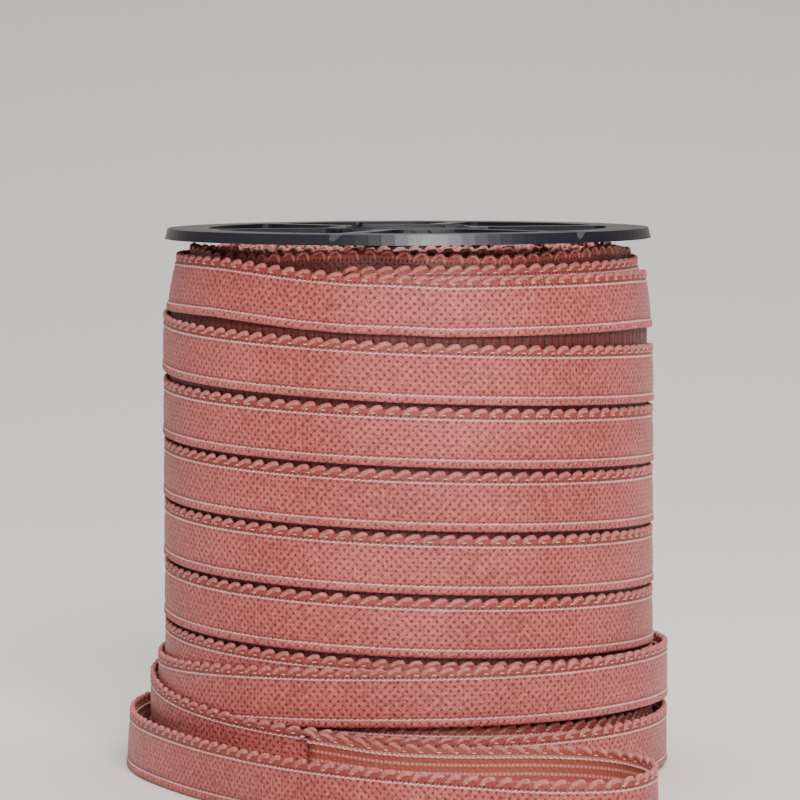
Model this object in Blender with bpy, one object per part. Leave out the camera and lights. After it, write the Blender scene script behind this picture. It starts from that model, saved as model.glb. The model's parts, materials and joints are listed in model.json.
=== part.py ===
"""A roll of 12 mm picot-edged elastic wound on a moulded reel, standing on its lower flange.

The axis of the reel is upright. The tape is wound in layers; the outer layer goes down the roll as a
left-handed helix, each turn with its picot edge up and its plain edge down. The last two turns have
slipped loose round the foot of the roll, and the free end runs forward over the table, turns back on
itself and ends against the roll. Lengths are in metres.
"""

import math

import bmesh
import bpy
import numpy as np
from mathutils import Matrix, Vector

MM = 0.001

# The tape, as it lies flat.
TAPE_WIDTH = 12.0 * MM  # plain edge to the tips of the picots
TAPE_THICKNESS = 1.0 * MM
PICOT_THICKNESS = 0.6 * MM
PICOT_DEPTH = 2.2 * MM  # the thinner strip that carries the picots
PIECE_GAP = 0.3 * MM  # between one piece and the next

# The reel.
FLANGE_RADIUS = 50.0 * MM  # on the side that faces the winding
FLANGE_FACE_RADIUS = 49.45 * MM  # on the outer side, which the draft makes smaller
FLANGE_THICKNESS = 2.1 * MM
RIM_INNER_RADIUS = 41.0 * MM
HUB_RADIUS = 16.5 * MM
BORE_RADIUS = 11.0 * MM
SPOKE_COUNT = 6
SPOKE_WIDTH = 4.2 * MM
FIRST_SPOKE_ANGLE = math.radians(-106.0)  # one spoke, from +X towards +Y
WINDOW_FILLET = 4.0 * MM
BARREL_RADIUS = 15.5 * MM
BARREL_WALL = 1.4 * MM
REEL_HEIGHT = 110.5 * MM

# The rim of the core tube that shows round the bore of the upper flange, and its two tabs.
COLLAR_INNER_RADIUS = 11.3 * MM
COLLAR_OUTER_RADIUS = 12.8 * MM
COLLAR_HEIGHT = 0.3 * MM
TABS = (
    # angle from +X (degrees), half width (degrees), height above the flange
    {"angle": -152.0, "half_width": 5.0, "height": 1.2 * MM},
    {"angle": -38.0, "half_width": 15.0, "height": 0.55 * MM},
)

# The winding.
PITCH = 12.4 * MM  # from one turn of the outer layer to the next
FIRST_TIP_HEIGHT = 102.3 * MM  # picot tips of the uppermost turn, at the front of the roll
FRONT_ANGLE = math.radians(270.0)
WINDING_BOTTOM = 3.4 * MM
WINDING_TOP = 105.2 * MM
TURN_RELIEF = (
    # distance below the picot tips, radius of the surface
    {"below": 0.0 * MM, "radius": 49.90 * MM},
    {"below": 1.6 * MM, "radius": 50.15 * MM},
    {"below": 2.7 * MM, "radius": 50.40 * MM},
    {"below": 10.9 * MM, "radius": 50.55 * MM},
    {"below": 12.0 * MM, "radius": 50.50 * MM},
)
SHOULDER = (
    # height above the table, largest radius there
    {"height": 3.4 * MM, "radius": 49.6 * MM},
    {"height": 5.5 * MM, "radius": 50.6 * MM},
    {"height": 91.0 * MM, "radius": 50.6 * MM},
    {"height": 95.5 * MM, "radius": 49.8 * MM},
    {"height": 99.6 * MM, "radius": 48.7 * MM},
    {"height": 103.7 * MM, "radius": 47.2 * MM},
    {"height": 105.2 * MM, "radius": 46.4 * MM},
)

# The loose end: first the turns round the foot of the roll, then the run over the table.
LOOSE_TURNS = (
    # angle (degrees, 270 at the front of the roll), middle radius of the tape, height of the tips
    {"angle": 400.0, "radius": 51.40 * MM, "tips": 24.8 * MM},
    {"angle": 480.0, "radius": 51.40 * MM, "tips": 24.0 * MM},
    {"angle": 555.0, "radius": 51.50 * MM, "tips": 24.0 * MM},
    {"angle": 600.0, "radius": 51.60 * MM, "tips": 26.1 * MM},
    {"angle": 630.0, "radius": 51.90 * MM, "tips": 26.8 * MM},
    {"angle": 690.0, "radius": 52.70 * MM, "tips": 26.6 * MM},
    {"angle": 720.0, "radius": 53.10 * MM, "tips": 25.8 * MM},
    {"angle": 765.0, "radius": 53.20 * MM, "tips": 24.7 * MM},
    {"angle": 810.0, "radius": 53.10 * MM, "tips": 22.8 * MM},
    {"angle": 900.0, "radius": 53.10 * MM, "tips": 20.1 * MM},
    {"angle": 930.0, "radius": 53.00 * MM, "tips": 17.5 * MM},
    {"angle": 960.0, "radius": 52.95 * MM, "tips": 15.2 * MM},
    {"angle": 990.0, "radius": 52.70 * MM, "tips": 13.3 * MM},
    {"angle": 1035.0, "radius": 52.60 * MM, "tips": 12.9 * MM},
    {"angle": 1080.0, "radius": 52.95 * MM, "tips": 12.3 * MM},
    {"angle": 1110.0, "radius": 54.10 * MM, "tips": 12.0 * MM},
    {"angle": 1170.0, "radius": 56.40 * MM, "tips": 12.0 * MM},
    {"angle": 1245.0, "radius": 58.00 * MM, "tips": 12.0 * MM},
)
LOOSE_TURN_STEP = 15.0  # degrees between the points taken from the turns
TABLE_RUN = (
    # plan position of the tips from the axis of the reel, their height, and how far out the foot stands
    {"x": -57.4 * MM, "y": 2.5 * MM, "tips": 12.0 * MM, "splay": 0.6 * MM},
    {"x": -54.8 * MM, "y": -16.0 * MM, "tips": 12.0 * MM, "splay": 1.2 * MM},
    {"x": -45.8 * MM, "y": -37.0 * MM, "tips": 12.0 * MM, "splay": 0.9 * MM},
    {"x": -36.4 * MM, "y": -52.4 * MM, "tips": 12.0 * MM, "splay": 0.3 * MM},
    {"x": -25.0 * MM, "y": -66.3 * MM, "tips": 12.0 * MM, "splay": 0.0 * MM},
    {"x": -10.5 * MM, "y": -78.2 * MM, "tips": 12.0 * MM, "splay": 0.0 * MM},
    {"x": 8.0 * MM, "y": -88.0 * MM, "tips": 12.0 * MM, "splay": 0.0 * MM},
    {"x": 27.0 * MM, "y": -94.2 * MM, "tips": 12.0 * MM, "splay": 0.0 * MM},
    {"x": 39.0 * MM, "y": -92.0 * MM, "tips": 12.0 * MM, "splay": 0.0 * MM},
    {"x": 45.2 * MM, "y": -82.5 * MM, "tips": 12.0 * MM, "splay": 0.0 * MM},
    {"x": 45.8 * MM, "y": -71.0 * MM, "tips": 12.0 * MM, "splay": 0.0 * MM},
    {"x": 40.0 * MM, "y": -60.5 * MM, "tips": 12.0 * MM, "splay": 0.0 * MM},
    {"x": 28.5 * MM, "y": -55.2 * MM, "tips": 12.0 * MM, "splay": 0.0 * MM},
    {"x": 12.0 * MM, "y": -54.8 * MM, "tips": 12.0 * MM, "splay": 0.0 * MM},
    {"x": -4.0 * MM, "y": -54.6 * MM, "tips": 12.6 * MM, "splay": 0.0 * MM},
    {"x": -19.4 * MM, "y": -51.3 * MM, "tips": 14.5 * MM, "splay": 0.0 * MM},
)
TAPE_SECTION_STEP = 5.5 * MM  # along the loose end

# Facets.
FLANGE_SEGMENTS = 120
BARREL_SEGMENTS = 64
WINDING_SEGMENTS = 60
FILLET_SEGMENTS = 5
SMOOTH_ANGLE = math.radians(35.0)

PLASTIC_COLOR = (0.010, 0.010, 0.014)
TAPE_COLOR = (0.56, 0.22, 0.20)


def clear_scene():
    for obj in list(bpy.data.objects):
        bpy.data.objects.remove(obj, do_unlink=True)


def material(name, color, roughness):
    made = bpy.data.materials.new(name)
    made.use_nodes = True
    shader = made.node_tree.nodes["Principled BSDF"]
    shader.inputs["Base Color"].default_value = (*color, 1.0)
    shader.inputs["Roughness"].default_value = roughness
    shader.inputs["Metallic"].default_value = 0.0
    made.diffuse_color = (*color, 1.0)
    return made


def object_from(name, shape):
    """An object of this bmesh, linked to the scene, with its faces turned outwards."""
    bmesh.ops.recalc_face_normals(shape, faces=shape.faces)
    mesh = bpy.data.meshes.new(name)
    shape.to_mesh(mesh)
    shape.free()
    obj = bpy.data.objects.new(name, mesh)
    bpy.context.scene.collection.objects.link(obj)
    return obj


def lathed(name, profile, segments, start=0.0, sweep=2.0 * math.pi):
    """A closed outline of (radius, height) turned about the axis, with end caps unless it is a full turn."""
    full = sweep > 2.0 * math.pi - 1e-6
    shape = bmesh.new()
    rings = []
    for step in range(segments if full else segments + 1):
        angle = start + sweep * step / segments
        rings.append(
            [shape.verts.new((r * math.cos(angle), r * math.sin(angle), z)) for r, z in profile]
        )
    count = len(profile)
    for here, after in zip(rings, rings[1:] + ([rings[0]] if full else [])):
        for i in range(count):
            shape.faces.new((here[i], here[(i + 1) % count], after[(i + 1) % count], after[i]))
    if not full:
        shape.faces.new(rings[0])
        shape.faces.new(rings[-1])
    return object_from(name, shape)


def combine(target, tool, operation):
    """Joins the tool to the target, or cuts it out, and removes the tool."""
    boolean = target.modifiers.new(operation.title(), "BOOLEAN")
    boolean.operation = operation
    boolean.solver = "EXACT"
    boolean.object = tool
    bpy.context.view_layer.update()
    graph = bpy.context.evaluated_depsgraph_get()
    mesh = bpy.data.meshes.new_from_object(target.evaluated_get(graph))
    target.modifiers.clear()
    target.data = mesh
    bpy.data.objects.remove(tool, do_unlink=True)


def finish_piece(obj, finish):
    obj.data.materials.clear()
    obj.data.materials.append(finish)
    obj.data.polygons.foreach_set("use_smooth", [True] * len(obj.data.polygons))
    obj.data.set_sharp_from_angle(angle=SMOOTH_ANGLE)


def window_cutter(angle, low, high):
    """The opening between two spokes, centred on the angle: straight sides, curved ends, round corners."""
    half = SPOKE_WIDTH / 2.0
    reach = math.pi / SPOKE_COUNT
    inner = reach - math.asin(half / HUB_RADIUS)
    outer = reach - math.asin(half / RIM_INNER_RADIUS)
    outline = [(RIM_INNER_RADIUS, outer * t) for t in np.linspace(-1.0, 1.0, 11)]
    outline += [(HUB_RADIUS, inner * t) for t in np.linspace(1.0, -1.0, 5)]
    corners = (0, 10, 11, 15)
    shape = bmesh.new()
    points = [
        shape.verts.new((r * math.cos(angle + turn), r * math.sin(angle + turn), low))
        for r, turn in outline
    ]
    shape.faces.new(points)
    bmesh.ops.bevel(
        shape,
        geom=[points[i] for i in corners],
        offset=WINDOW_FILLET * 0.6,
        segments=FILLET_SEGMENTS,
        affect="VERTICES",
        profile=0.5,
    )
    extruded = bmesh.ops.extrude_face_region(shape, geom=list(shape.faces))
    top = [item for item in extruded["geom"] if isinstance(item, bmesh.types.BMVert)]
    bmesh.ops.translate(shape, verts=top, vec=(0.0, 0.0, high - low))
    return object_from("window_cutter", shape)


def flange(name, winding_side, outer_side, finish):
    """One flange: a rim, a hub and the spokes between them, drafted from the winding side outwards."""
    profile = [
        (BORE_RADIUS, winding_side),
        (FLANGE_RADIUS, winding_side),
        (FLANGE_FACE_RADIUS, outer_side),
        (BORE_RADIUS, outer_side),
    ]
    disc = lathed(name, profile, FLANGE_SEGMENTS)
    low, high = sorted((winding_side, outer_side))
    for spoke in range(SPOKE_COUNT):
        angle = FIRST_SPOKE_ANGLE + 2.0 * math.pi * (spoke + 0.5) / SPOKE_COUNT
        combine(disc, window_cutter(angle, low - 2.0 * MM, high + 2.0 * MM), "DIFFERENCE")
    finish_piece(disc, finish)
    return disc


def add_collar(disc, finish):
    """The low rim round the bore of the upper flange and the two tabs that lock the core tube in it."""
    foot = REEL_HEIGHT - FLANGE_THICKNESS / 2.0
    top = REEL_HEIGHT + COLLAR_HEIGHT
    ring = [(COLLAR_INNER_RADIUS, foot), (COLLAR_OUTER_RADIUS, foot)]
    ring += [(COLLAR_OUTER_RADIUS, top), (COLLAR_INNER_RADIUS, top)]
    combine(disc, lathed("collar", ring, FLANGE_SEGMENTS // 2), "UNION")
    for tab in TABS:
        top = REEL_HEIGHT + tab["height"]
        block = [(COLLAR_INNER_RADIUS - 0.2 * MM, foot), (COLLAR_OUTER_RADIUS - 0.3 * MM, foot)]
        block += [(COLLAR_OUTER_RADIUS - 0.3 * MM, top), (COLLAR_INNER_RADIUS - 0.2 * MM, top)]
        start = math.radians(tab["angle"] - tab["half_width"])
        sweep = math.radians(2.0 * tab["half_width"])
        combine(disc, lathed("tab", block, 6, start, sweep), "UNION")
    finish_piece(disc, finish)


def barrel(finish):
    """The plain core tube between the flanges."""
    low = FLANGE_THICKNESS + PIECE_GAP
    high = REEL_HEIGHT - FLANGE_THICKNESS - PIECE_GAP
    inner = BARREL_RADIUS - BARREL_WALL
    profile = [(inner, low), (BARREL_RADIUS, low), (BARREL_RADIUS, high), (inner, high)]
    tube = lathed("reel_barrel", profile, BARREL_SEGMENTS)
    finish_piece(tube, finish)
    return tube


def winding(finish):
    """All the wound tape as one body, with the step from each turn of the outer layer to the next."""
    heights = [row["height"] for row in SHOULDER]
    limits = [row["radius"] for row in SHOULDER]
    turns = math.ceil((WINDING_TOP - WINDING_BOTTOM) / PITCH) + 2
    inner = BARREL_RADIUS + PIECE_GAP
    shape = bmesh.new()
    sections = []
    for step in range(WINDING_SEGMENTS + 1):
        angle = 2.0 * math.pi * step / WINDING_SEGMENTS
        tips = FIRST_TIP_HEIGHT - PITCH * (angle - FRONT_ANGLE) / (2.0 * math.pi)
        outline = [(inner, WINDING_TOP)]
        for turn in range(-2, turns):
            for row in TURN_RELIEF:
                height = tips - turn * PITCH - row["below"]
                height = min(max(height, WINDING_BOTTOM), WINDING_TOP)
                limit = float(np.interp(height, heights, limits))
                outline.append((min(row["radius"], limit), height))
        outline.append((inner, WINDING_BOTTOM))
        sections.append(
            [shape.verts.new((r * math.cos(angle), r * math.sin(angle), z)) for r, z in outline]
        )
    # The last section is the first one a turn lower, so it is joined to the first by height below.
    shift = len(TURN_RELIEF)
    first, last = sections[0], sections[-1]
    for here, after in zip(sections, sections[1:]):
        rows = len(here)
        for i in range(rows):
            after_i = (i + 1) % rows
            shape.faces.new((here[i], here[after_i], after[after_i], after[i]))
    weld = {last[0]: first[0], last[-1]: first[-1]}
    for i in range(1, len(last) - 1):
        weld[last[i]] = first[min(i + shift, len(first) - 2)]
    bmesh.ops.weld_verts(shape, targetmap=weld)
    bmesh.ops.remove_doubles(shape, verts=shape.verts, dist=0.02 * MM)
    bmesh.ops.dissolve_degenerate(shape, dist=0.01 * MM, edges=shape.edges)
    roll = object_from("winding", shape)
    finish_piece(roll, finish)
    return roll


def smooth_through(points, step):
    """Points at even steps on a smooth line through these points (a centripetal Catmull-Rom spline)."""
    points = np.asarray(points)
    padded = np.vstack([2 * points[0] - points[1], points, 2 * points[-1] - points[-2]])
    fine = []
    for a, b, c, d in zip(padded, padded[1:], padded[2:], padded[3:]):
        knots = np.cumsum([0.0] + [math.sqrt(np.linalg.norm(q - p)) for p, q in ((a, b), (b, c), (c, d))])
        for t in np.linspace(knots[1], knots[2], 16, endpoint=False):
            ab = a + (b - a) * (t - knots[0]) / (knots[1] - knots[0])
            bc = b + (c - b) * (t - knots[1]) / (knots[2] - knots[1])
            cd = c + (d - c) * (t - knots[2]) / (knots[3] - knots[2])
            abc = ab + (bc - ab) * (t - knots[0]) / (knots[2] - knots[0])
            bcd = bc + (cd - bc) * (t - knots[1]) / (knots[3] - knots[1])
            fine.append(abc + (bcd - abc) * (t - knots[1]) / (knots[2] - knots[1]))
    fine = np.array(fine + [points[-1]])
    run = np.concatenate([[0.0], np.cumsum(np.linalg.norm(np.diff(fine, axis=0), axis=1))])
    even = np.linspace(0.0, run[-1], round(run[-1] / step) + 1)
    return np.column_stack([np.interp(even, run, fine[:, axis]) for axis in range(fine.shape[1])])


def loose_end_line():
    """The picot tips from the winding to the cut end, and how far outside them the foot stands."""
    angles = [row["angle"] for row in LOOSE_TURNS]
    points = []
    for angle in np.arange(angles[0], angles[-1] + 1e-6, LOOSE_TURN_STEP):
        radius = float(np.interp(angle, angles, [row["radius"] for row in LOOSE_TURNS]))
        tips = float(np.interp(angle, angles, [row["tips"] for row in LOOSE_TURNS]))
        turn = math.radians(angle)
        points.append((radius * math.cos(turn), radius * math.sin(turn), tips, 0.0))
    points += [(row["x"], row["y"], row["tips"], row["splay"]) for row in TABLE_RUN]
    line = smooth_through(points, TAPE_SECTION_STEP)
    line[:, 2] = np.maximum(line[:, 2], TAPE_WIDTH)
    return line


def loose_end(finish):
    """The loose turns and the free end: the flat tape on its plain edge, swept along its line."""
    line = loose_end_line()
    ahead = np.gradient(line[:, :2], axis=0)
    ahead /= np.linalg.norm(ahead, axis=1)[:, None]
    section = (
        # sideways from the middle of the tape, distance below the tips
        (-PICOT_THICKNESS / 2.0, 0.0),
        (PICOT_THICKNESS / 2.0, 0.0),
        (TAPE_THICKNESS / 2.0, PICOT_DEPTH),
        (TAPE_THICKNESS / 2.0, TAPE_WIDTH),
        (-TAPE_THICKNESS / 2.0, TAPE_WIDTH),
        (-TAPE_THICKNESS / 2.0, PICOT_DEPTH),
    )
    shape = bmesh.new()
    rings = []
    for (x, y, tips, splay), (along_x, along_y) in zip(line, ahead):
        rings.append(
            [
                shape.verts.new(
                    (
                        x + along_y * (side + splay * below / TAPE_WIDTH),
                        y - along_x * (side + splay * below / TAPE_WIDTH),
                        tips - below,
                    )
                )
                for side, below in section
            ]
        )
    count = len(section)
    for here, after in zip(rings, rings[1:]):
        for i in range(count):
            shape.faces.new((here[i], here[(i + 1) % count], after[(i + 1) % count], after[i]))
    shape.faces.new(rings[0])
    shape.faces.new(rings[-1])
    tape = object_from("loose_end", shape)
    finish_piece(tape, finish)
    return tape


def stand_on_origin(pieces):
    """Moves the pieces together, so that the middle of the foot of their common box is the origin."""
    corners = np.array([vertex.co for piece in pieces for vertex in piece.data.vertices])
    low, high = corners.min(axis=0), corners.max(axis=0)
    middle = Vector(((low[0] + high[0]) / 2.0, (low[1] + high[1]) / 2.0, 0.0))
    for piece in pieces:
        piece.data.transform(Matrix.Translation(-middle))


def main():
    clear_scene()
    plastic = material("reel_plastic", PLASTIC_COLOR, 0.35)
    elastic = material("elastic", TAPE_COLOR, 0.75)
    top = flange("reel_flange_top", REEL_HEIGHT - FLANGE_THICKNESS, REEL_HEIGHT, plastic)
    add_collar(top, plastic)
    bottom = flange("reel_flange_bottom", FLANGE_THICKNESS, 0.0, plastic)
    pieces = [top, bottom, barrel(plastic), winding(elastic), loose_end(elastic)]
    stand_on_origin(pieces)


main()
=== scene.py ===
"""Dresses the roll of picot elastic: the wound tape, its loose end and the moulded reel."""

import json
import logging
import math
from dataclasses import dataclass, field
from enum import Enum

import bmesh
import bpy
import numpy as np
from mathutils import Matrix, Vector

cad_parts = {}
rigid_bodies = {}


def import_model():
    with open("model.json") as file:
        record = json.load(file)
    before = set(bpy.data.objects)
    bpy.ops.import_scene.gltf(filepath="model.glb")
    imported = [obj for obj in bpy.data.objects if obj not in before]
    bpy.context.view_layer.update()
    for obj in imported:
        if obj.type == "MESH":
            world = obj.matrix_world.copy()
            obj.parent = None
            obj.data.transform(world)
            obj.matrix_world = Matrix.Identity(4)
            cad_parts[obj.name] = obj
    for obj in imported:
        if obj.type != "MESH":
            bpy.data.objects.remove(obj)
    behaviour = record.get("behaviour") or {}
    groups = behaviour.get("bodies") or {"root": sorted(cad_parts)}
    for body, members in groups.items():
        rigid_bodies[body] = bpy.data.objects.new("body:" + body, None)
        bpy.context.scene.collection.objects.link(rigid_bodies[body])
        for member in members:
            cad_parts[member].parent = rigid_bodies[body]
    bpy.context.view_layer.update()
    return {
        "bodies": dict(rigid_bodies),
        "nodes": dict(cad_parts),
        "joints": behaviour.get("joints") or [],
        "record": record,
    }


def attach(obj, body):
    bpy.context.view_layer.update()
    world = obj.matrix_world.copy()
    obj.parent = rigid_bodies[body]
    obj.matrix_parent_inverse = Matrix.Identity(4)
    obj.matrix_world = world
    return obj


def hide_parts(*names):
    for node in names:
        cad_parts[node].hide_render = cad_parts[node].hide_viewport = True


LOG = logging.getLogger("roll")
MM = 0.001
AXIS = np.array([0.002486, 0.018926])  # axis of the reel in plan
WIDTH = 12.0 * MM  # picot tips to plain edge
PICOT_PITCH = 3.4 * MM
CORD_PITCH = 1.15 * MM
WRONG_SIDE = 100.0 * MM  # added to V on the inner face of the tape
PIT_ALONG = 1.68 * MM  # from one pit of the knit to the next
PIT_ACROSS = 1.8 * MM
HOLE_PITCH = 0.85 * MM  # small holes over the upper twisted cord
WRONG_ROW_PITCH = 1.7 * MM  # dotted rows on the wrong side
# Lines of the tape, in millimetres below the picot tips.
PICOT_LINE = 1.25
DASH_LINE = 1.8
CORD_LINES = (2.66, 10.5)
SELVEDGE_LINE = 11.3


class Slot(Enum):
    """The record's material slots."""

    PLASTIC = "reel_plastic"
    ELASTIC = "elastic"


def linear(hex_colour: str) -> tuple[float, float, float, float]:
    """Turns an sRGB hex colour to a linear one.

    Args:
        hex_colour: six hex digits, with or without #.

    Returns:
        Linear red, green, blue and alpha.
    """
    digits = hex_colour.lstrip("#")
    parts = [int(digits[i : i + 2], 16) / 255 for i in (0, 2, 4)]
    return (*[c / 12.92 if c <= 0.04045 else ((c + 0.055) / 1.055) ** 2.4 for c in parts], 1.0)


def add(tree: bpy.types.NodeTree, kind: str, links: dict | None = None, **settings: object) -> bpy.types.Node:
    """Adds a node with its settings and links.

    Args:
        tree: the tree it goes in.
        kind: the node's bl_idname.
        links: input name or index to an output socket, or to a plain value.
        settings: properties of the node.

    Returns:
        The new node.
    """
    node = tree.nodes.new(kind)
    for name, value in settings.items():
        setattr(node, name, value)
    for key, value in (links or {}).items():
        if isinstance(value, bpy.types.NodeSocket):
            tree.links.new(value, node.inputs[key])
        else:
            node.inputs[key].default_value = value
    return node


@dataclass(frozen=True)
class KnittedElastic:
    """Rubber core covered with satin polyester, warp knitted: a soft sheen over small ribs and pits."""

    name: str
    deep: str
    light: str
    ribs: float  # strength of the knitted cells, 0 on plain threads
    # The strip colour is partly the satin's own deeper red and partly painted shade of the sunk strip.
    strip: str = "903c32"  # the sunk strip under the picots

    def make(self) -> bpy.types.Material:
        """Builds the material, its pits at the stitch pitch of the tape.

        Returns:
            The material, which reads the piece's own UV map in metres.
        """
        made = bpy.data.materials.new(self.name)
        made.use_nodes = True
        tree = made.node_tree
        shader = tree.nodes["Principled BSDF"]
        where = add(tree, "ShaderNodeUVMap", uv_map="tape").outputs["UV"]
        split = add(tree, "ShaderNodeSeparateXYZ", {0: where})
        along = add(tree, "ShaderNodeMath", {0: split.outputs[0], 1: 2 * math.pi / PIT_ALONG},
                    operation="MULTIPLY").outputs[0]
        across = add(tree, "ShaderNodeMath", {0: split.outputs[1], 1: 2 * math.pi / PIT_ACROSS},
                     operation="MULTIPLY").outputs[0]
        wave_a = add(tree, "ShaderNodeMath", {0: along}, operation="SINE").outputs[0]
        wave_b = add(tree, "ShaderNodeMath", {0: across}, operation="SINE").outputs[0]
        cells = add(tree, "ShaderNodeMath", {0: wave_a, 1: wave_b}, operation="MULTIPLY").outputs[0]
        place = add(tree, "ShaderNodeTexCoord").outputs["Object"]
        fibre = add(tree, "ShaderNodeTexNoise", {"Vector": place, "Scale": 1400.0, "Detail": 3.0})
        patch = add(tree, "ShaderNodeTexNoise", {"Vector": place, "Scale": 45.0, "Detail": 2.0})
        # The pits are painted towards the deep colour, as painted shade in the knit's pits; the same values
        # lower the bump.
        pits = add(tree, "ShaderNodeMapRange", {"Value": cells, "From Min": 0.35, "From Max": 0.95})
        lift = add(tree, "ShaderNodeMath",
                   {0: pits.outputs[0], 1: -0.45 * self.ribs, 2: fibre.outputs["Fac"]},
                   operation="MULTIPLY_ADD").outputs[0]
        tone = add(tree, "ShaderNodeMath", {0: patch.outputs["Fac"], 1: 0.35, 2: lift},
                   operation="MULTIPLY_ADD").outputs[0]
        ramp = add(tree, "ShaderNodeMapRange", {"Value": tone, "From Min": 0.35, "From Max": 0.95})
        mix = add(tree, "ShaderNodeMix", {"Factor": ramp.outputs[0]}, data_type="RGBA")
        mix.inputs[6].default_value = linear(self.deep)
        mix.inputs[7].default_value = linear(self.light)
        bump = add(tree, "ShaderNodeBump", {"Height": lift, "Distance": 0.25 * MM, "Strength": 0.8})
        # A row of small holes 0.85 mm apart runs just over the upper twisted cord; the holes are painted near
        # black, as painted shade inside them.
        rungs = add(tree, "ShaderNodeMath", {0: split.outputs[0], 1: 2 * math.pi / HOLE_PITCH},
                    operation="MULTIPLY").outputs[0]
        rungs = add(tree, "ShaderNodeMath", {0: rungs}, operation="SINE").outputs[0]
        rungs = add(tree, "ShaderNodeMapRange",
                    {"Value": rungs, "From Min": -0.3, "From Max": 0.6}).outputs[0]
        # The sunk satin strip under the picots is painted deeper red, partly its satin's own colour and
        # partly painted shade of the recess; the groove over the plain edge is painted darker, as painted
        # shade.
        depth = add(tree, "ShaderNodeMath", {0: split.outputs[1], 1: 1.0 / WIDTH}, operation="MULTIPLY")
        recess_shade_bands = add(tree, "ShaderNodeValToRGB", {0: depth.outputs[0]})
        stops = recess_shade_bands.color_ramp.elements
        stops[0].position, stops[0].color = 0.16, (0.0, 0.0, 0.0, 1.0)
        stops[1].position, stops[1].color = 0.235, (1.0, 1.0, 1.0, 1.0)
        for position, shade in ((0.815, 1.0), (0.835, 0.25), (0.86, 1.0)):
            stops.new(position).color = (shade, shade, shade, 1.0)
        upper = add(tree, "ShaderNodeMath", {0: depth.outputs[0], 1: 0.165}, operation="LESS_THAN")
        holes = add(tree, "ShaderNodeMath", {0: rungs, 1: upper.outputs[0]}, operation="MAXIMUM")
        hole_shade = add(tree, "ShaderNodeMix", {"Factor": holes.outputs[0]}, data_type="RGBA")
        hole_shade.inputs[6].default_value = linear("3f0d08")
        hole_shade.inputs[7].default_value = linear(self.strip)
        strip = add(tree, "ShaderNodeMix", {"Factor": recess_shade_bands.outputs[0]}, data_type="RGBA")
        tree.links.new(hole_shade.outputs[2], strip.inputs[6])
        tree.links.new(mix.outputs[2], strip.inputs[7])
        # The wrong side, whose V is moved by WRONG_SIDE, is orange red with dotted rows 1.7 mm apart.
        inside = add(tree, "ShaderNodeMath", {0: split.outputs[1], 1: WRONG_SIDE / 2},
                     operation="GREATER_THAN")
        row = add(tree, "ShaderNodeMath", {0: split.outputs[1], 1: 2 * math.pi / WRONG_ROW_PITCH},
                  operation="MULTIPLY")
        row = add(tree, "ShaderNodeMath", {0: row.outputs[0]}, operation="SINE")
        row = add(tree, "ShaderNodeMapRange", {"Value": row.outputs[0], "From Min": 0.2, "From Max": 0.9})
        beads = add(tree, "ShaderNodeMapRange", {"Value": rungs, "To Min": 0.35, "To Max": 1.0})
        dots = add(tree, "ShaderNodeMath", {0: row.outputs[0], 1: beads.outputs[0]}, operation="MULTIPLY")
        wrong = add(tree, "ShaderNodeMix", {"Factor": dots.outputs[0]}, data_type="RGBA")
        wrong.inputs[6].default_value = linear("944334")
        wrong.inputs[7].default_value = linear("c98078")
        both = add(tree, "ShaderNodeMix", {"Factor": inside.outputs[0]}, data_type="RGBA")
        tree.links.new(strip.outputs[2], both.inputs[6])
        tree.links.new(wrong.outputs[2], both.inputs[7])
        colour = both if self.ribs else mix
        tree.links.new(colour.outputs[2], shader.inputs["Base Color"])
        tree.links.new(bump.outputs[0], shader.inputs["Normal"])
        shader.inputs["Roughness"].default_value = 0.55
        shader.inputs["Sheen Weight"].default_value = 0.08
        shader.inputs["Sheen Roughness"].default_value = 0.4
        return made


@dataclass(frozen=True)
class MouldedPlastic:
    """Black polystyrene, injection moulded: a soft gloss with faint flow marks and handling scuffs."""

    name: str = "moulded_polystyrene"
    colour: str = "0b0a12"

    def make(self) -> bpy.types.Material:
        """Builds the material, with a fine grain of 0.5 mm and scuffs of 20 mm.

        Returns:
            The material, with the IOR of polystyrene.
        """
        made = bpy.data.materials.new(self.name)
        made.use_nodes = True
        tree = made.node_tree
        shader = tree.nodes["Principled BSDF"]
        place = add(tree, "ShaderNodeTexCoord").outputs["Object"]
        grain = add(tree, "ShaderNodeTexNoise", {"Vector": place, "Scale": 2000.0, "Detail": 2.0})
        scuff = add(tree, "ShaderNodeTexNoise", {"Vector": place, "Scale": 50.0, "Detail": 4.0})
        rough = add(tree, "ShaderNodeMapRange",
                    {"Value": scuff.outputs["Fac"], "To Min": 0.28, "To Max": 0.5})
        mix = add(tree, "ShaderNodeMix", {"Factor": scuff.outputs["Fac"]}, data_type="RGBA")
        mix.inputs[6].default_value = linear(self.colour)
        mix.inputs[7].default_value = linear("171524")
        bump = add(tree, "ShaderNodeBump", {"Height": grain.outputs["Fac"], "Distance": 0.02 * MM})
        tree.links.new(mix.outputs[2], shader.inputs["Base Color"])
        tree.links.new(rough.outputs[0], shader.inputs["Roughness"])
        tree.links.new(bump.outputs[0], shader.inputs["Normal"])
        shader.inputs["IOR"].default_value = 1.59
        return made


def stage_finish(name: str, colour: str) -> bpy.types.Material:
    """Makes a matt finish for the floor.

    Args:
        name: the material's name.
        colour: sRGB hex.

    Returns:
        The material.
    """
    made = bpy.data.materials.new(name)
    made.use_nodes = True
    made.node_tree.nodes["Principled BSDF"].inputs["Base Color"].default_value = linear(colour)
    made.node_tree.nodes["Principled BSDF"].inputs["Roughness"].default_value = 0.8
    return made


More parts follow.
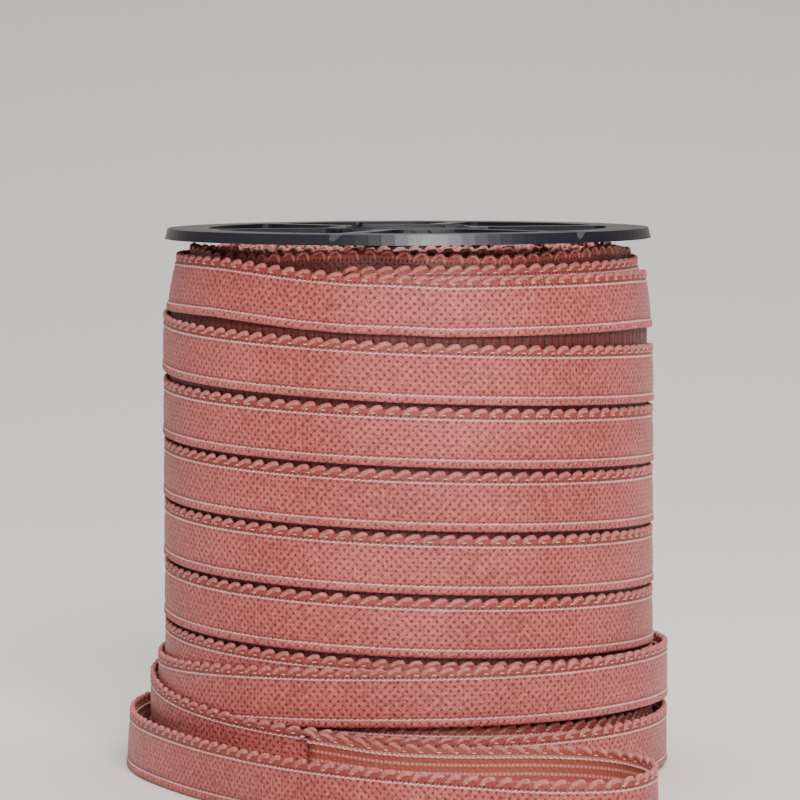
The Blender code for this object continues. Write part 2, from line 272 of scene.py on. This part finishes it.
def mesh_object(name: str, verts: np.ndarray, faces: list, edges: list | None = None) -> bpy.types.Object:
    """Makes a linked mesh object.

    Args:
        name: the object's name.
        verts: points, in metres.
        faces: corner indices of each face.
        edges: pairs of indices, for a guide line.

    Returns:
        The object.
    """
    mesh = bpy.data.meshes.new(name)
    mesh.from_pydata([tuple(map(float, v)) for v in verts], edges or [], faces)
    made = bpy.data.objects.new(name, mesh)
    bpy.context.scene.collection.objects.link(made)
    return made


def face_outwards(mesh: bpy.types.Mesh) -> None:
    """Turns every face of a closed mesh outwards.

    Args:
        mesh: the mesh that is changed.
    """
    shape = bmesh.new()
    shape.from_mesh(mesh)
    bmesh.ops.recalc_face_normals(shape, faces=shape.faces)
    shape.to_mesh(mesh)
    shape.free()


def smooth_through(points: np.ndarray, step: float) -> np.ndarray:
    """Resamples a centripetal Catmull-Rom line at even steps.

    Args:
        points: rows of coordinates.
        step: distance between samples, in metres.

    Returns:
        The even rows.
    """
    ends = np.vstack([2 * points[0] - points[1], points, 2 * points[-1] - points[-2]])
    fine = []
    for a, b, c, d in zip(ends, ends[1:], ends[2:], ends[3:]):
        k = np.cumsum([0.0] + [math.sqrt(np.linalg.norm(q - p)) for p, q in ((a, b), (b, c), (c, d))])
        for t in np.linspace(k[1], k[2], 16, endpoint=False):
            ab = a + (b - a) * (t - k[0]) / (k[1] - k[0])
            bc = b + (c - b) * (t - k[1]) / (k[2] - k[1])
            cd = c + (d - c) * (t - k[2]) / (k[3] - k[2])
            abc = ab + (bc - ab) * (t - k[0]) / (k[2] - k[0])
            bcd = bc + (cd - bc) * (t - k[1]) / (k[3] - k[1])
            fine.append(abc + (bcd - abc) * (t - k[1]) / (k[2] - k[1]))
    rows = np.array(fine + [points[-1]])
    run = np.concatenate([[0.0], np.cumsum(np.linalg.norm(np.diff(rows, axis=0), axis=1))])
    even = np.linspace(0.0, run[-1], round(run[-1] / step) + 1)
    return np.column_stack([np.interp(even, run, rows[:, i]) for i in range(rows.shape[1])])


@dataclass
class Stitcher:
    """Sets one stitch again and again along a line with Geometry Nodes."""

    seed: int = 7

    def tree(self) -> bpy.types.NodeTree:
        """Builds the tree that sets a stitch along a line.

        Returns:
            The tree, with inputs Stitch, Spacing and Finish.
        """
        tree = bpy.data.node_groups.new("stitches_along_a_line", "GeometryNodeTree")
        for name, kind, way in (("Geometry", "Geometry", "INPUT"), ("Stitch", "Object", "INPUT"),
                                ("Spacing", "Float", "INPUT"), ("Finish", "Material", "INPUT"),
                                ("Geometry", "Geometry", "OUTPUT")):
            tree.interface.new_socket(name, in_out=way, socket_type="NodeSocket" + kind)
        given = add(tree, "NodeGroupInput").outputs
        curve = add(tree, "GeometryNodeMeshToCurve", {0: given["Geometry"]})
        even = add(tree, "GeometryNodeResampleCurve", {"Curve": curve.outputs[0], "Length": given["Spacing"]},
                   mode="LENGTH")
        stitch = add(tree, "GeometryNodeObjectInfo", {"Object": given["Stitch"]})
        tangent = add(tree, "GeometryNodeInputTangent")
        turn = add(tree, "FunctionNodeAxesToRotation",
                   {0: tangent.outputs[0], 1: (0.0, 0.0, 1.0)}, primary_axis="X", secondary_axis="Z")
        size = add(tree, "FunctionNodeRandomValue", {"Seed": self.seed}, data_type="FLOAT_VECTOR")
        size.inputs[0].default_value = (0.92, 0.9, 0.9)
        size.inputs[1].default_value = (1.08, 1.1, 1.04)
        set_out = add(tree, "GeometryNodeInstanceOnPoints",
                      {"Points": even.outputs[0], "Instance": stitch.outputs["Geometry"],
                       "Rotation": turn.outputs[0], "Scale": size.outputs[0]})
        real = add(tree, "GeometryNodeRealizeInstances", {0: set_out.outputs[0]})
        done = add(tree, "GeometryNodeSetMaterial", {0: real.outputs[0], "Material": given["Finish"]})
        add(tree, "NodeGroupOutput", {0: done.outputs[0]})
        return tree

    def run(self, name: str, lines: list[np.ndarray], stitch: bpy.types.Object, spacing: float,
            finish: bpy.types.Material) -> bpy.types.Object:
        """Sets the stitch along these lines.

        Args:
            name: the piece's name.
            lines: rows of points, in metres.
            stitch: the object repeated.
            spacing: distance between stitches, in metres.
            finish: their material.

        Returns:
            One plain mesh object.
        """
        edges, start = [], 0
        for line in lines:
            edges += [(start + i, start + i + 1) for i in range(len(line) - 1)]
            start += len(line)
        guide = mesh_object(name + "_guide", np.vstack(lines), [], edges)
        tree = self.tree()
        modifier = guide.modifiers.new("stitches", "NODES")
        modifier.node_group = tree
        ids = {item.name: item.identifier for item in tree.interface.items_tree if item.in_out == "INPUT"}
        modifier[ids["Stitch"]] = stitch
        modifier[ids["Spacing"]] = spacing
        modifier[ids["Finish"]] = finish
        graph = bpy.context.evaluated_depsgraph_get()
        mesh = bpy.data.meshes.new_from_object(guide.evaluated_get(graph))
        mesh.name = name
        guide.modifiers.clear()
        bpy.data.objects.remove(guide)
        if not mesh.materials:
            mesh.materials.append(finish)
        mesh.shade_smooth()
        made = bpy.data.objects.new(name, mesh)
        bpy.context.scene.collection.objects.link(made)
        return made


def tube(name: str, points: list[tuple[float, float, float]], radius: float, sides: int) -> bpy.types.Object:
    """Makes a closed thread that follows points, thinner at its ends.

    Args:
        name: the object's name.
        points: its middle line, in millimetres.
        radius: its radius, in millimetres.
        sides: faces round it.

    Returns:
        The object, with a pole at each end.
    """
    line = np.array(points)
    ahead = np.gradient(line, axis=0)
    ahead /= np.linalg.norm(ahead, axis=1)[:, None]
    verts, faces = [], []
    for i, (point, way) in enumerate(zip(line, ahead)):
        up = np.cross(way, (0.0, 1.0, 0.0))
        up /= np.linalg.norm(up)
        side = np.cross(way, up)
        thick = radius * (0.55 if i in (0, len(line) - 1) else 1.0)
        for k in range(sides):
            turn = 2 * math.pi * k / sides
            verts.append(point + thick * (math.cos(turn) * up + math.sin(turn) * side))
    for i in range(len(line) - 1):
        for k in range(sides):
            after = (k + 1) % sides
            faces.append((i * sides + k, i * sides + after, (i + 1) * sides + after, (i + 1) * sides + k))
    faces += [tuple(range(sides))[::-1], tuple((len(line) - 1) * sides + k for k in range(sides))]
    made = mesh_object(name, np.array(verts) * MM, faces)
    face_outwards(made.data)
    return made


@dataclass
class Tape:
    """A stretch of the picot tape on its plain edge, along rows of plan place, tip height and splay."""

    name: str
    line: np.ndarray
    # distance below the tips and half thickness, in millimetres
    section: tuple = ((1.0, 0.25), (1.5, 0.34), (2.2, 0.30), (2.6, 0.46), (3.1, 0.40), (4.6, 0.50),
                      (6.5, 0.52), (8.4, 0.50), (9.7, 0.44), (10.05, 0.30), (10.4, 0.46), (11.2, 0.48),
                      (12.0, 0.36))
    outward: np.ndarray = field(init=False)

    def __post_init__(self) -> None:
        """Finds which way is out, to the right of the run."""
        ahead = np.gradient(self.line[:, :2], axis=0)
        ahead /= np.linalg.norm(ahead, axis=1)[:, None]
        self.outward = np.column_stack([-ahead[:, 1], ahead[:, 0]]) * -1.0

    def at(self, below: float, side: float) -> np.ndarray:
        """Finds the line at one height of the tape.

        Args:
            below: distance below the tips, in millimetres.
            side: distance outwards from the middle of the tape, in millimetres.

        Returns:
            Rows of points, in metres.
        """
        out = (side * MM + self.line[:, 3] * below * MM / WIDTH)[:, None] * self.outward
        return np.column_stack([self.line[:, :2] + out + AXIS, self.line[:, 2] - below * MM])

    def web(self, finish: bpy.types.Material) -> bpy.types.Object:
        """Builds the flat web of the tape as one closed skin with its own UV map in metres.

        Args:
            finish: its material.

        Returns:
            The object.
        """
        ring = [(b, s) for b, s in self.section] + [(b, -s) for b, s in reversed(self.section)]
        count, rows = len(ring), len(self.line)
        verts = np.stack([self.at(b, s) for b, s in ring], axis=1).reshape(-1, 3)
        faces = [
            (i * count + k, (i + 1) * count + k,
             (i + 1) * count + (k + 1) % count, i * count + (k + 1) % count)
            for i in range(rows - 1)
            for k in range(count)
        ]
        faces += [tuple(range(count)), tuple((rows - 1) * count + k for k in range(count))[::-1]]
        made = mesh_object(self.name + "_web", verts, faces)
        run = np.concatenate([[0.0], np.cumsum(np.linalg.norm(np.diff(self.line[:, :3], axis=0), axis=1))])
        layer = made.data.uv_layers.new(name="tape")
        for loop in made.data.loops:
            row, k = divmod(loop.vertex_index, count)
            moved = WRONG_SIDE if k >= len(self.section) else 0.0
            layer.data[loop.index].uv = (run[row], ring[k][0] * MM + moved)
        face_outwards(made.data)
        made.data.shade_smooth()
        made.data.materials.append(finish)
        return made


def wound_line(start: float, end: float, inset: float) -> np.ndarray:
    """The outer layer of the winding, turn angle 270 at the front of the first turn.

    Args:
        start: first angle, in degrees.
        end: last angle, in degrees.
        inset: how far under the outer surface, in millimetres.

    Returns:
        Rows of plan place, tip height and splay, in metres.
    """
    angles = (-104, 0, 100, 206, 220, 230, 244, 256, 268, 279, 337, 400, 480, 560, 630, 2790, 2900)
    tips = (104.6, 104.9, 105.8, 106.0, 105.8, 105.2, 104.1, 103.4, 103.1, 102.6, 102.6, 100.8, 97.0, 92.9,
            89.9, 15.5, 12.1)
    turn = np.arange(start, end, 2.5)
    # The earlier turn lies under the first full one.
    inset = inset + np.interp(turn, (130.0, 200.0), (1.1, 0.0))
    height = np.interp(turn, angles, tips)
    radius = np.interp(height, (12.0, 94.0, 96.0, 101.0, 103.7, 106.0), (49.9, 49.9, 49.5, 48.7, 48.1, 47.2))
    low = np.interp(height, (12.0, 96.0, 106.0), (50.1, 50.1, 49.6))
    rad = np.radians(turn)
    radius = radius - inset
    low = low - inset
    place = radius[:, None] * np.column_stack([np.cos(rad), np.sin(rad)])
    return np.column_stack([place, height, low - radius]) * MM


@dataclass
class Elastic:
    """The wound tape, the layers under it and the loose end."""

    stitcher: Stitcher
    # angle in degrees, middle radius and tip height in millimetres
    turns: tuple = ((400, 51.40, 24.8), (480, 51.40, 24.0), (555, 51.50, 24.0), (600, 51.60, 26.1),
                    (630, 51.90, 26.8), (690, 52.70, 26.6), (720, 53.10, 25.8), (765, 53.20, 24.7),
                    (810, 53.10, 22.8), (900, 53.10, 20.1), (930, 53.00, 17.5), (960, 52.95, 15.2),
                    (990, 52.70, 13.3), (1035, 52.60, 12.9), (1080, 52.95, 12.3), (1110, 54.10, 12.0),
                    (1170, 56.40, 12.0), (1245, 58.00, 12.0))
    # plan place, tip height and splay of the run over the table, in millimetres
    table: tuple = ((-57.4, 2.5, 12, 0.6), (-54.8, -16, 12, 1.2), (-45.8, -37, 12, 0.9),
                    (-36.4, -52.4, 12, 0.3), (-25, -66.3, 12, 0), (-10.5, -78.2, 12, 0), (8, -88, 12, 0),
                    (27, -94.2, 12, 0),
                    (39, -92, 12, 0), (45.2, -82.5, 12, 0), (45.8, -71, 12, 0), (40, -60.5, 12, 0),
                    (28.5, -55.2, 12, 0), (12, -54.8, 12, 0), (-4, -54.6, 12.6, 0), (-19.4, -51.3, 14.5, 0))

    def loose_line(self) -> np.ndarray:
        """Finds the line of the picot tips, first round the foot of the roll and then over the table.

        Returns:
            Rows of plan place, tip height and splay, in metres.
        """
        angle, radius, tips = np.array(self.turns, float).T
        turn = np.arange(angle[0], angle[-1] + 1e-6, 15.0)
        reach, rad = np.interp(turn, angle, radius), np.radians(turn)
        height = np.interp(turn, angle, tips)
        rows = np.column_stack([reach * np.cos(rad), reach * np.sin(rad), height, 0 * turn])
        line = smooth_through(np.vstack([rows, np.array(self.table, float)]) * MM, 1.6 * MM)
        line[:, 2] = np.maximum(line[:, 2], WIDTH)
        return line

    def trims(self, tapes: list[Tape], name: str, satin: bpy.types.Material,
              painted_highlight_thread: bpy.types.Material, faces: tuple) -> list[bpy.types.Object]:
        """Sets the picots, the twisted cords and the selvedge stitches on the tapes.

        Args:
            tapes: the stretches they go on.
            name: start of the pieces' names.
            satin: finish of the picots and selvedge.
            painted_highlight_thread: finish of the cords and base dashes, coloured near white as painted
                highlight.
            faces: sides of the tape that show, 1 outside and -1 inside.

        Returns:
            The pieces.
        """
        loop = tube("picot", [(-1.45, 0, -0.8), (-1.0, 0.1, -0.25), (-0.4, 0.15, 0.2), (0.3, 0.15, 0.48),
                              (0.95, 0.1, 0.5), (1.45, 0, 0.25)], 0.56, 8)
        dash = tube("dash", [(1.2, 0, -0.02), (1.65, 0.1, 0.0), (2.1, 0, 0.02)], 0.17, 5)
        twist = tube("twist", [(-0.62, 0, -0.12), (0, 0.1, 0), (0.62, 0, 0.12)], 0.21, 5)
        rib = tube("rib", [(-0.35, 0, -0.55), (0, 0.1, 0), (0.35, 0, 0.5)], 0.22, 4)
        made = [
            self.stitcher.run(name + "_picots", [t.at(PICOT_LINE, 0.12) for t in tapes],
                              loop, PICOT_PITCH, satin),
            self.stitcher.run(name + "_twisted_cords",
                              [t.at(b, 0.46 * f) for t in tapes for b in CORD_LINES for f in faces],
                              twist, CORD_PITCH, painted_highlight_thread),
            self.stitcher.run(name + "_base_dashes",
                              [t.at(DASH_LINE, 0.36 * f) for t in tapes for f in faces],
                              dash, PICOT_PITCH, painted_highlight_thread),
            self.stitcher.run(name + "_selvedge",
                              [t.at(SELVEDGE_LINE, 0.46 * f) for t in tapes for f in faces],
                              rib, CORD_PITCH, satin),
        ]
        for helper in (loop, dash, twist, rib):
            bpy.data.objects.remove(helper)
        return made

    def build(self) -> None:
        """Builds and dresses every elastic piece, hides the nodes it stands for and attaches each piece to
        the root body.
        """
        body = KnittedElastic("knitted_elastic", "76231f", "d5716d", 1.0).make()
        satin = KnittedElastic("satin_picot_thread", "913b35", "d2827c", 0.0).make()
        # The raised cords and base dashes are coloured near white: painted highlight on these raised threads.
        painted_highlight_thread = KnittedElastic("twisted_cord_painted_highlight", "c98680", "f2c4be", 0.0).make()
        # The layers under the outer turn are the same elastic coloured much darker: painted shade, where they
        # lie between the bands and under the flange.
        deep = KnittedElastic("inner_layers_painted_shade", "3e0d0a", "74291f", 1.0).make()
        outer = Tape("wound_tape", wound_line(-104, 2900, 0.0))
        pieces = [outer.web(body), *self.trims([outer], "wound_tape", satin, painted_highlight_thread, (1,))]
        pieces.append(self.core(deep))
        inner = [Tape(f"layer_{n}", self.layer(20.0 + 3.1 * n, n)) for n in range(9)]
        loop = tube("picot", [(-1.0, 0, -1.6), (-0.9, 0.1, -0.4), (0.0, 0.15, 0.5), (1.0, 0.1, 0.6),
                              (1.6, 0, -0.3), (1.6, 0, -1.5)], 0.5, 6)
        pieces += [t.web(deep) for t in inner]
        pieces.append(self.stitcher.run("inner_layer_picots", [t.at(PICOT_LINE, 0.0) for t in inner], loop,
                                        PICOT_PITCH, satin))
        bpy.data.objects.remove(loop)
        for piece in pieces:
            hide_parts("winding")
        loose = Tape("loose_tape", self.loose_line())
        web = loose.web(body)
        trims = self.trims([loose], "loose_tape", satin, painted_highlight_thread, (1, -1))
        for piece in [web, *trims]:
            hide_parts("loose_end")
        for piece in [*pieces, web, *trims]:
            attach(piece, "root")
            LOG.info("%s: %d faces", piece.name, len(piece.data.polygons))

    def layer(self, radius: float, number: int) -> np.ndarray:
        """Rows of one wavy inner layer.

        Args:
            radius: its mean radius, in millimetres.
            number: which one, which sets its waves.

        Returns:
            Rows in metres.
        """
        turn = np.radians(np.arange(0, 356, max(2.5, 90 / radius)))
        wave = 0.5 * np.sin(9 * turn + 1.7 * number) + 0.3 * np.sin(17 * turn + number)
        tips = 107.2 + 0.6 * np.sin(5 * turn + 2.1 * number)
        place = (radius + wave)[:, None] * np.column_stack([np.cos(turn), np.sin(turn)])
        return np.column_stack([place, tips, 0 * turn]) * MM

    def core(self, finish: bpy.types.Material) -> bpy.types.Object:
        """Builds the wound layers behind the outer one, as a ring with ribbed sides.

        Args:
            finish: its material, the elastic coloured much darker as painted shade.

        Returns:
            The object.
        """
        profile = ((16.2, 3.6), (48.6, 3.6), (49.1, 4.6), (49.1, 92.0), (47.4, 97.0), (45.8, 102.5),
                   (16.2, 102.5))  # radius and height, in millimetres
        steps, verts, faces = 240, [], []
        for i in range(steps):
            turn = 2 * math.pi * i / steps
            for k, (radius, height) in enumerate(profile):
                reach = radius + (0.12 * (i % 2) if 0 < k < 6 else 0.0)
                verts.append((reach * MM * math.cos(turn) + AXIS[0], reach * MM * math.sin(turn) + AXIS[1],
                              height * MM))
        count = len(profile)
        for i in range(steps):
            after = (i + 1) % steps
            faces += [
                (i * count + k, after * count + k,
                 after * count + (k + 1) % count, i * count + (k + 1) % count)
                for k in range(count)
            ]
        made = mesh_object("inner_layers", np.array(verts), faces)
        layer = made.data.uv_layers.new(name="tape")
        for loop in made.data.loops:
            row, k = divmod(loop.vertex_index, count)
            layer.data[loop.index].uv = (row * 2 * math.pi * 0.049 / steps, 6.0 * MM)
        face_outwards(made.data)
        made.data.materials.append(finish)
        return made


@dataclass
class Reel:
    """The moulded reel: each piece repeats its node's shape, facets included, with its doubles merged."""

    nodes: tuple = ("reel_flange_bottom", "reel_flange_top", "reel_barrel")
    crisp_angle: float = 28.0  # degrees

    def build(self, frame: dict) -> None:
        """Makes the mouldings that stand for the reel's nodes.
        """
        plastic = MouldedPlastic().make()
        for name in self.nodes:
            shape = bmesh.new()
            shape.from_mesh(frame["nodes"][name].data)
            bmesh.ops.remove_doubles(shape, verts=shape.verts, dist=0.001 * MM)
            mesh = bpy.data.meshes.new(name + "_moulding")
            shape.to_mesh(mesh)
            shape.free()
            mesh.materials.clear()
            mesh.materials.append(plastic)
            mesh.shade_smooth()
            mesh.set_sharp_from_angle(angle=math.radians(self.crisp_angle))
            piece = bpy.data.objects.new(name + "_moulding", mesh)
            bpy.context.scene.collection.objects.link(piece)
            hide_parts(name)
            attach(piece, "root")
            LOG.info("%s: %d faces", piece.name, len(mesh.polygons))


@dataclass
class Studio:
    """Pale floor, soft lights and the camera."""

    camera_place: tuple = (0.000776, -0.784774, 0.1342)
    lens: float = 175.5

    def build(self) -> None:
        """Sets out the floor, backdrop, lights and camera."""
        side = [(-3.0, -0.0002), (0.6, -0.0002)]
        side += [(0.6 + 2.0 * math.sin(t), 2.0 - 2.0002 * math.cos(t))
                 for t in np.linspace(0.05, math.pi / 2, 28)]
        side += [(2.6, 5.0)]
        verts = [(x, y, z) for x in (-4.0, 4.0) for y, z in side]
        count = len(side)
        faces = [(i, i + count, i + count + 1, i + 1) for i in range(count - 1)]
        floor = mesh_object("floor", np.array(verts), faces)
        floor.data.shade_smooth()
        floor.data.materials.append(stage_finish("matt_paper", "efe9e4"))
        for name, place, size, power in (("key", (0.30, -1.35, 0.85), 0.6, 27.0),
                                         ("fill", (-1.2, -0.5, 0.7), 1.0, 1.0),
                                         ("top", (0.1, 0.3, 1.4), 1.6, 22.0)):
            data = bpy.data.lights.new(name, "AREA")
            data.size, data.energy = size, power
            lamp = bpy.data.objects.new(name, data)
            lamp.location = place
            lamp.rotation_euler = (Vector((0, 0, 0.05)) - Vector(place)).to_track_quat("-Z", "Y").to_euler()
            bpy.context.scene.collection.objects.link(lamp)
        world = bpy.data.worlds.new("studio")
        world.use_nodes = True
        world.node_tree.nodes["Background"].inputs[0].default_value = linear("f2efec")
        world.node_tree.nodes["Background"].inputs[1].default_value = 0.24
        bpy.context.scene.world = world
        data = bpy.data.cameras.new("camera")
        data.lens, data.sensor_width = self.lens, 36.0
        camera = bpy.data.objects.new("camera", data)
        camera.location = self.camera_place
        camera.rotation_euler = (math.radians(85.774), 0.0, 0.0)
        camera.rotation_euler.rotate_axis("Z", math.radians(-0.152))
        bpy.context.scene.collection.objects.link(camera)
        bpy.context.scene.camera = camera


def main() -> None:
    """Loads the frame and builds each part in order."""
    logging.basicConfig(level=logging.INFO)
    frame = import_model()
    Reel().build(frame)
    Elastic(Stitcher()).build()
    Studio().build()


if __name__ == "__main__":
    main()
